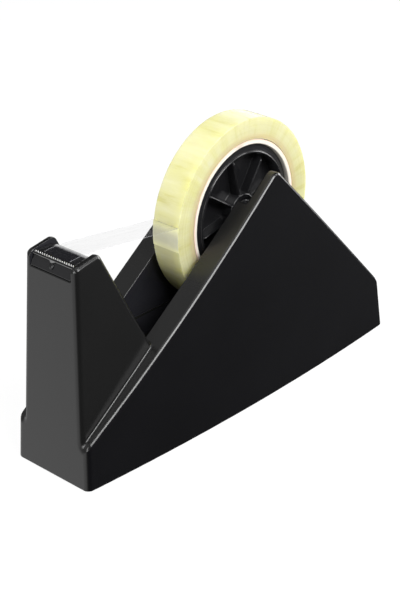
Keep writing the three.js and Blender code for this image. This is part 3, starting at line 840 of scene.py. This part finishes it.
def hub_field(x, y, z):
    across, up = x - AXLE_X, z - AXLE_Z
    radius = np.sqrt(across ** 2 + up ** 2)
    out = np.abs(y)
    web = np.maximum(out - WEB_HALF, radius - HUB_LIP - WEB_ROOT)
    boss = round_max(radius - BOSS_RADIUS, out - BOSS_HALF, BOSS_EDGE)
    ribs = ribs_field(radius, np.arctan2(up, across), out)
    wheel = round_min(rim_field(radius, out), web, FILLET)
    solid = round_min(wheel, round_min(boss, ribs, HUB_EDGE), FILLET)
    collar = round_max(radius - COLLAR_RADIUS, out - HUB_COLLAR_HALF, HUB_EDGE)
    solid = round_min(solid, collar, HUB_EDGE)
    return round_max(solid, AXLE_RADIUS + GAP - radius, HUB_EDGE)


def hub():
    cell = HUB_CELL
    piece = solid_piece("hub_moulding", hub_field, *box_mm("hub"), cell, HUB_KEEP)
    claim(piece, "roll", "hub", black_plastic("hub_plastic", 0.010, (0.17, 0.24)).material)


# Axle ends: a chamfer, and a centre hole given as radius and depth.
AXLE_CHAMFER = 0.6
CENTRE_HOLE = ((0, 1.3), (1.1, 0.5), (1.35, 0))


def axle():
    rim = (AXLE_RADIUS - AXLE_CHAMFER, AXLE_HALF)
    shoulder = (AXLE_RADIUS, AXLE_HALF - AXLE_CHAMFER, AXLE_CHAMFER / 2)
    end = rounded([rim, shoulder, (AXLE_RADIUS, 0)], steps=3)[:-1]
    centre = [(radius, AXLE_HALF - depth) for radius, depth in CENTRE_HOLE]
    profile = centre + [tuple(p) for p in end]
    profile += [(r, -z) for r, z in reversed(profile)]
    bm = turned(profile, segments=64)
    add_piece("axle_pin", bm, ON_AXLE, "roll_carrier", "axle", steel("axle_steel"))


# The winding: its side faces are uneven by a few hundredths of a millimetre.
LAYER_COUNT = 60
UNEVEN = 0.05
SIDE_CLEARANCE = 0.02
WINDING_EDGE = (0.15, 0.2)


def roll():
    wobble = np.random.default_rng(7).uniform(-UNEVEN, 0.0, LAYER_COUNT)
    radii = np.linspace(CORE_RADIUS + GAP, ROLL_RADIUS - WINDING_EDGE[0], LAYER_COUNT)
    flank = ROLL_HALF - SIDE_CLEARANCE
    top = [(r, flank + w) for r, w in zip(radii, wobble)]
    outer = [(ROLL_RADIUS, ROLL_HALF - WINDING_EDGE[1]), (ROLL_RADIUS, WINDING_EDGE[1] - ROLL_HALF)]
    bottom = [(r, -flank - w) for r, w in zip(radii[::-1], wobble)]
    bm = turned(top + outer + bottom, segments=240, closed=True)
    add_piece("tape_winding", bm, ON_AXLE, "roll", "tape_roll", wound_film(), sharp=50)


CORE_INNER_ROUND = 0.6
CORE_OUTER_ROUND = 0.2


def core():
    inner = HUB_RADIUS + GAP
    ring = [(inner, -ROLL_HALF, CORE_INNER_ROUND), (CORE_RADIUS, -ROLL_HALF, CORE_OUTER_ROUND)]
    ring += [(CORE_RADIUS, ROLL_HALF, CORE_OUTER_ROUND), (inner, ROLL_HALF, CORE_INNER_ROUND)]
    bm = turned([tuple(p) for p in rounded(ring, steps=2)], segments=200, closed=True)
    add_piece("core_tube", bm, ON_AXLE, "roll", "tape_core", card())


# Cutter head, blade and rivet.
HEAD_HALF = box_mm("cutter_head")[1][1]
HEAD_REAR = (-102.6, 115.3)
HEAD_FOOT_Z = SEAT_Z + GAP
HEAD_SETBACK = 0.15
HEAD_FOOT = (-HALF_LENGTH + FRONT_LEAN * HEAD_FOOT_Z + HEAD_SETBACK, HEAD_FOOT_Z)
HEAD_CROWN_RISE = 0.4
HEAD_CROWN = (-108.0, HEAD_TOP_Z + HEAD_CROWN_RISE)
HEAD_BACK_GAP = 0.4
HEAD_ROUND = 0.3
HEAD_EDGE = 0.15
BLADE_ANGLE = math.radians(42)
BLADE_FOOT = (HEAD_FRONT_X, 118.7)
BLADE_THICKNESS = 0.6
TOOTH_COUNT = 18
TOOTH_ROOT = 1.5
TOOTH_TIP = 2.35
BLADE_HEM = 0.25
TAB = ((2.0, BLADE_HEM), (0.7, -0.7))
BLADE_SIDE_GAP = 0.05
BLADE_EDGE = 0.11
BLADE_FOOT_ROUND = 0.15
TAB_ROUNDS = (0.4, 0.5)
RIVET_Z = 116.7
RIVET_DOME = ((0, 0.9), (0.5, 0.86), (0.95, 0.74), (1.25, 0.57), (1.44, 0.4), (1.5, GAP))
RIVET_SHANK = ((0.9, GAP), (0.9, -1.1), (0.8, -1.2), (0, -1.2))
blade_along = Vector((math.cos(BLADE_ANGLE), 0, math.sin(BLADE_ANGLE)))
blade_out = Vector((-math.sin(BLADE_ANGLE), 0, math.cos(BLADE_ANGLE)))


def curve(start, bend, end, steps):
    """Points of a quadratic curve, without its first."""
    found = []
    for k in range(1, steps + 1):
        t = k / steps
        parts = zip(start, bend, end)
        found.append(tuple((1 - t) ** 2 * a + 2 * t * (1 - t) * b + t * t * c for a, b, c in parts))
    return found


def cutter_head():
    def back_x(z):
        return tower_back_x(z) - EAR_LIFT / TOWER_BACK_SLOPE - HEAD_BACK_GAP

    rear = (back_x(HEAD_REAR[1]), HEAD_REAR[1])
    rise = (HEAD_TOP_Z - BLADE_FOOT[1]) / blade_along.z
    lip = (BLADE_FOOT[0] + rise * blade_along.x, HEAD_TOP_Z)
    corners = [(*HEAD_FOOT, HEAD_ROUND), (back_x(HEAD_FOOT_Z), HEAD_FOOT_Z), rear]
    corners += curve(rear, (HEAD_REAR[0], HEAD_CROWN[1] + GAP), HEAD_CROWN, steps=12)
    corners += [(*lip, HEAD_ROUND), (*BLADE_FOOT, HEAD_ROUND)]
    bm = slab(rounded(corners), -HEAD_HALF, HEAD_HALF, HEAD_EDGE)
    plastic = black_plastic("head_plastic", 0.0095, (0.10, 0.17), 0.012)
    plastic.set(Coat_Weight=0.4, Coat_Roughness=0.05)
    add_piece("cutter_block", bm, ACROSS, "base", "cutter_head", plastic.material)


def blade():
    """Blade outline: foot with its tab from left to right, then the teeth from right to left."""
    tooth = 2 * HEAD_HALF / TOOTH_COUNT
    edge = HEAD_HALF - BLADE_SIDE_GAP
    foot = [(edge, BLADE_HEM, BLADE_FOOT_ROUND)]
    foot += [(*point, radius) for point, radius in zip(TAB, TAB_ROUNDS)]
    corners = [(-x, y, radius) for x, y, radius in foot] + foot[::-1]
    for i in range(TOOTH_COUNT):
        corners.append((edge if i == 0 else HEAD_HALF - tooth * i, TOOTH_ROOT))
        corners.append((HEAD_HALF - tooth * (i + 0.5), TOOTH_TIP))
    corners.append((-edge, TOOTH_ROOT))
    bm = slab(rounded(corners, steps=3), 0, BLADE_THICKNESS, BLADE_EDGE, steps=2)
    corner = Vector((BLADE_FOOT[0], 0, BLADE_FOOT[1])) + blade_out * (GAP + BLADE_THICKNESS)
    where = basis((0, 1, 0), blade_along, -blade_out, corner)
    add_piece("cutter_blade", bm, where, "base", "blade", blade_steel(), sharp=25)


def rivet():
    bm = turned(RIVET_DOME + RIVET_SHANK, segments=40)
    up = (Vector(BLADE_FOOT) - Vector(HEAD_FOOT)).normalized()
    centre = Vector(HEAD_FOOT) + up * (RIVET_Z - HEAD_FOOT_Z) / up.y
    where = basis((0, 1, 0), (-up.x, 0, -up.y), (-up.y, 0, up.x), (centre.x, 0, centre.y))
    finish = steel("rivet_steel", 0.06, (0.3, 0.45))
    add_piece("tab_rivet", bm, where, "base", "blade_rivet", finish)


# The free film runs from the blade's teeth to the roll, and lies on the roll for a short way.
FILM = 0.12
FILM_CLEAR = 0.42
FILM_START_X = -115.3
FILM_SAG = 0.1
FILM_END = (-39.3, 113.05)
FREE_STEPS = 10
STUCK_STEPS = 12
STUCK_FROM, STUCK_TO = math.radians(171.9), math.radians(187)
FILM_COLUMNS = 48
TORN_DEPTH = 0.45


def film_line():
    """Centre line of the film in x and z."""
    start = (FILM_START_X, HEAD_TOP_Z + FILM_CLEAR)
    level = (HEAD_CROWN[0], HEAD_CROWN[1] + FILM_CLEAR)
    bend = (HEAD_REAR[0], level[1])
    reach = math.dist(level, bend) / math.dist(bend, FILM_END)
    leave = tuple(b + (e - b) * reach for b, e in zip(bend, FILM_END))
    line = [start] + curve(start, ((start[0] + level[0]) / 2, level[1] - FILM_SAG), level, steps=4)
    line += curve(level, bend, leave, steps=10)
    for k in range(1, FREE_STEPS + 1):
        line.append(tuple(a + (b - a) * k / FREE_STEPS for a, b in zip(leave, FILM_END)))
    radius = ROLL_RADIUS + FILM
    for k in range(STUCK_STEPS + 1):
        angle = STUCK_FROM + (STUCK_TO - STUCK_FROM) * k / STUCK_STEPS
        line.append((AXLE_X + radius * math.cos(angle), AXLE_Z + radius * math.sin(angle)))
    return [Vector(p) for p in line]


def torn(column):
    """How far the torn end stands out there: one tooth in every four columns."""
    return TORN_DEPTH * (-0.5, 0, 0.5, 0)[column % 4]


def film_side(bm, line, side):
    """The grid of vertices on one side of the film."""
    rows = []
    for i, point in enumerate(line):
        ahead = line[min(i + 1, len(line) - 1)] - line[max(i - 1, 0)]
        up = Vector((-ahead.y, ahead.x)).normalized() * side * FILM / 2
        row = []
        for k in range(FILM_COLUMNS + 1):
            y = ROLL_HALF * (2 * k / FILM_COLUMNS - 1)
            out = torn(k) if i == 0 else 0
            row.append(bm.verts.new((point.x + up.x - out, y, point.y + up.y)))
        rows.append(row)
    return rows


def strip_faces(bm, first, second):
    """Faces between two rows of as many points."""
    for i in range(len(first) - 1):
        bm.faces.new((first[i], first[i + 1], second[i + 1], second[i]))


def film():
    """A ribbon with a row of torn teeth at its free end."""
    line = film_line()
    bm = bmesh.new()
    low, high = film_side(bm, line, -1), film_side(bm, line, 1)
    for rows in (low, high):
        for first, second in zip(rows, rows[1:]):
            strip_faces(bm, first, second)
    for end in (0, -1):
        strip_faces(bm, low[end], high[end])
    for edge in (0, -1):
        strip_faces(bm, [row[edge] for row in low], [row[edge] for row in high])
    place = Matrix.Identity(4)
    add_piece("film_run", bm, place, "roll_carrier", "tape_strip", clear_film(), sharp=60)


# Underside: feet with a hollow in the middle of the tread, and cross-head screws.
FOOT_HOLLOW = 0.35
FOOT_TREAD = (2.6, 2.3)
FOOT_EDGE = 0.5


def feet():
    finish = rubber()
    for k in range(1, 5):
        low, high = box_mm(f"foot_{k}")
        radius = (high[0] - low[0]) / 2
        hollow = [(0, FOOT_HOLLOW), (radius - FOOT_TREAD[0], FOOT_HOLLOW)]
        tread = [(radius - FOOT_TREAD[1], 0), (radius - FOOT_EDGE, 0), (radius, FOOT_EDGE)]
        bm = turned(hollow + tread + [(radius, high[2]), (0, high[2])], segments=56)
        centre = (low + high) / 2
        where = Matrix.Translation((centre[0], centre[1], 0))
        add_piece(f"rubber_foot_{k}", bm, where, "base", f"foot_{k}", finish)


SCREW_CELL, SCREW_CELL_QUICK = 0.18, 0.3
SCREW_KEEP = 0.35
SCREW_HEAD = 2.9
SCREW_HEAD_HEIGHT = 1.2
SCREW_HEAD_ROUND = 0.35
SCREW_TIP = 13.1
SHANK_RADIUS = 1.3
THREAD_DEPTH = 0.15
THREAD_PITCH = 1.1
CROSS_HALF_LENGTH = 1.5
CROSS_HALF_WIDTH = 0.35
CROSS_FLOOR = 0.5
CROSS_EDGE = 0.12


def screw_field(x, y, z):
    """Pan head up to z = 0 with a cross recess from below, and a ringed shank above it."""
    radius = np.sqrt(x ** 2 + y ** 2)
    half = SCREW_HEAD_HEIGHT / 2
    head = round_max(radius - SCREW_HEAD, np.abs(z + half) - half, SCREW_HEAD_ROUND)
    bars = []
    for along, aside in ((y, x), (x, y)):
        bars.append(np.maximum(np.abs(aside) - CROSS_HALF_WIDTH, np.abs(along) - CROSS_HALF_LENGTH))
    cross = np.maximum(np.minimum(*bars), z + CROSS_FLOOR)
    rings = THREAD_DEPTH * np.cos(z * 2 * math.pi / THREAD_PITCH)
    shank = np.maximum(radius - SHANK_RADIUS - rings, np.maximum(-z - 1, z - SCREW_TIP))
    return np.minimum(round_max(head, -cross, CROSS_EDGE), shank)


def screws():
    """Four screws from one mesh, which is made once."""
    finish = steel("screw_steel", 0.5, (0.24, 0.4), (1, 1, 1), 0.9)
    cell = SCREW_CELL
    low, high = (-SCREW_HEAD, 0, -SCREW_HEAD_HEIGHT), (SCREW_HEAD, SCREW_HEAD, SCREW_TIP)
    model = solid_piece("screw_model", screw_field, low, high, cell, SCREW_KEEP)
    for k in range(1, 5):
        low, high = box_mm(f"base_screw_{k}")
        piece = bpy.data.objects.new(f"plate_screw_{k}", model.data.copy())
        bpy.context.scene.collection.objects.link(piece)
        centre = (low + high) / 2 * MM
        lift = (low[2] + SCREW_HEAD_HEIGHT) * MM
        piece.data.transform(Matrix.Translation((centre[0], centre[1], lift)))
        claim(piece, "base", f"base_screw_{k}", finish)
    bpy.data.objects.remove(model)


def finish_node(name, material):
    """Gives a CAD node that is shown as it is its material."""
    mesh = frame["nodes"][name].data
    mesh.materials.clear()
    mesh.materials.append(material)


housing()
hub()
axle()
core()
roll()
cutter_head()
blade()
rivet()
film()
feet()
screws()
finish_node("base_plate", plate_plastic())
ballast = cement()
finish_node("ballast_front", ballast)
finish_node("ballast_rear", ballast)


# ---- stage ----------------------------------------------------------------------------------
class Sky:
    """Light from all round as a sum of soft patches, each facing one direction."""

    def __init__(self, world):
        world.use_nodes = True
        self.tree = world.node_tree
        self.direction = self.tree.nodes.new("ShaderNodeTexCoord").outputs["Generated"]
        self.height = self.facing((0, 0, 1))
        self.total = None

    def facing(self, towards):
        """Cosine of the angle to a direction."""
        made = self.tree.nodes.new("ShaderNodeVectorMath")
        made.operation = "DOT_PRODUCT"
        self.tree.links.new(self.direction, made.inputs[0])
        made.inputs[1].default_value = Vector(towards).normalized()
        return made.outputs["Value"]

    def ramp(self, value, start, end, low, high):
        made = self.tree.nodes.new("ShaderNodeMapRange")
        made.interpolation_type = "SMOOTHSTEP"
        self.tree.links.new(value, made.inputs["Value"])
        for key, number in (("From Min", start), ("From Max", end), ("To Min", low), ("To Max", high)):
            made.inputs[key].default_value = number
        return made.outputs["Result"]

    def math(self, operation, a, b):
        made = self.tree.nodes.new("ShaderNodeMath")
        made.operation = operation
        for socket, value in zip(made.inputs, (a, b)):
            if isinstance(value, float):
                socket.default_value = value
            else:
                self.tree.links.new(value, socket)
        return made.outputs[0]

    def patch(self, towards, start, end, level):
        """Adds a patch that fades in as the cosine to its direction goes from start to end."""
        share = self.ramp(self.facing(towards), start, end, 0.0, 1.0)
        value = self.math("MULTIPLY", share, level)
        self.total = value if self.total is None else self.math("ADD", self.total, value)


# Light from all round that isn't in a patch, and the floor: a disc just under the feet that glows.
AMBIENT = 0.03
FLOOR_RADIUS = 6.0
FLOOR_DROP = 0.0002
FLOOR_GLOW = 0.94
LAMP_AIM = (0, 0, 0.06)


def light_sky(world):
    """The camera sees plain white, and the object reflects soft patches."""
    sky = Sky(world)
    low = sky.ramp(sky.height, -0.3, -0.05, 1.0, 0.27)
    high = sky.ramp(sky.height, 0.3, 0.6, 0.0, 0.25)
    sky.patch((-0.8, 0.6, 0.0), 0.25, 0.7, sky.math("ADD", low, high))
    sky.patch((0.65, -0.76, -0.05), 0.6, 0.95, sky.ramp(sky.height, -0.5, -0.3, 0.04, 0.11))
    sky.patch((0.7, 0.7, 0.1), 0.93, 0.985, 1.5)
    sky.patch((0.96, -0.14, 0.15), 0.94, 0.98, 8.0)
    strength = sky.math("ADD", sky.total, AMBIENT)
    seen = sky.tree.nodes.new("ShaderNodeLightPath").outputs["Is Camera Ray"]
    background = sky.tree.nodes["Background"]
    sky.tree.links.new(sky.math("MAXIMUM", strength, seen), background.inputs["Strength"])
    background.inputs["Color"].default_value = (1, 1, 1, 1)


def pale_floor():
    bm = bmesh.new()
    bmesh.ops.create_circle(bm, cap_ends=True, segments=64, radius=FLOOR_RADIUS)
    mesh = bpy.data.meshes.new("floor")
    bm.to_mesh(mesh)
    bm.free()
    floor = bpy.data.objects.new("floor", mesh)
    floor.location.z = -FLOOR_DROP
    bpy.context.scene.collection.objects.link(floor)
    s = Surface("floor_paper")
    tint = s.mix(s.noise(3.0), grey(0.09), grey(0.11))
    s.set(Base_Color=tint, Roughness=0.9, Specular_IOR_Level=0.0)
    s.set(Emission_Color=(1, 1, 1, 1), Emission_Strength=FLOOR_GLOW)
    floor.data.materials.append(s.material)
    floor.visible_glossy = False


def studio():
    scene = bpy.context.scene
    scene.view_settings.view_transform = "Standard"
    scene.world = bpy.data.worlds.new("studio")
    light_sky(scene.world)
    pale_floor()
    lamp("key", (-0.1, -0.85, 0.9), (0.95, 0.42), 16.0)
    lamp("rim", (0.68, -0.56, 0.84), (0.4, 0.35), 3.2)
    lamp("top", (-0.25, 0.1, 1.5), (1.0, 1.0), 4.2)
    lamp("left", (-0.94, -0.1, 0.36), (0.4, 0.4), 3.2)


def lamp(name, place, size, power):
    data = bpy.data.lights.new(name, "AREA")
    data.shape = "RECTANGLE"
    data.size, data.size_y = size
    data.energy = power
    light = bpy.data.objects.new(name, data)
    light.location = place
    aim = Vector(LAMP_AIM) - Vector(place)
    light.rotation_mode = "QUATERNION"
    light.rotation_quaternion = aim.to_track_quat("-Z", "Y")
    light.visible_camera = False
    bpy.context.scene.collection.objects.link(light)


# The camera's place in metres, its lens and sensor in millimetres, and where it looks from.
CAMERA_PLACE = (-0.56068, -0.49910, 0.43440)
CAMERA_LENS = 91.2
CAMERA_SENSOR = 36
CAMERA_AZIMUTH, CAMERA_ELEVATION = math.radians(-47.69), math.radians(26.87)


def camera():
    data = bpy.data.cameras.new("camera")
    data.sensor_fit = "VERTICAL"
    data.sensor_height = CAMERA_SENSOR
    data.lens = CAMERA_LENS
    level = math.cos(CAMERA_ELEVATION)
    back = Vector((
        math.sin(CAMERA_AZIMUTH) * level,
        -math.cos(CAMERA_AZIMUTH) * level,
        math.sin(CAMERA_ELEVATION),
    ))
    eye = bpy.data.objects.new("camera", data)
    eye.location = CAMERA_PLACE
    eye.rotation_mode = "QUATERNION"
    eye.rotation_quaternion = (-back).to_track_quat("-Z", "Y")
    bpy.context.scene.collection.objects.link(eye)
    bpy.context.scene.camera = eye


studio()
camera()
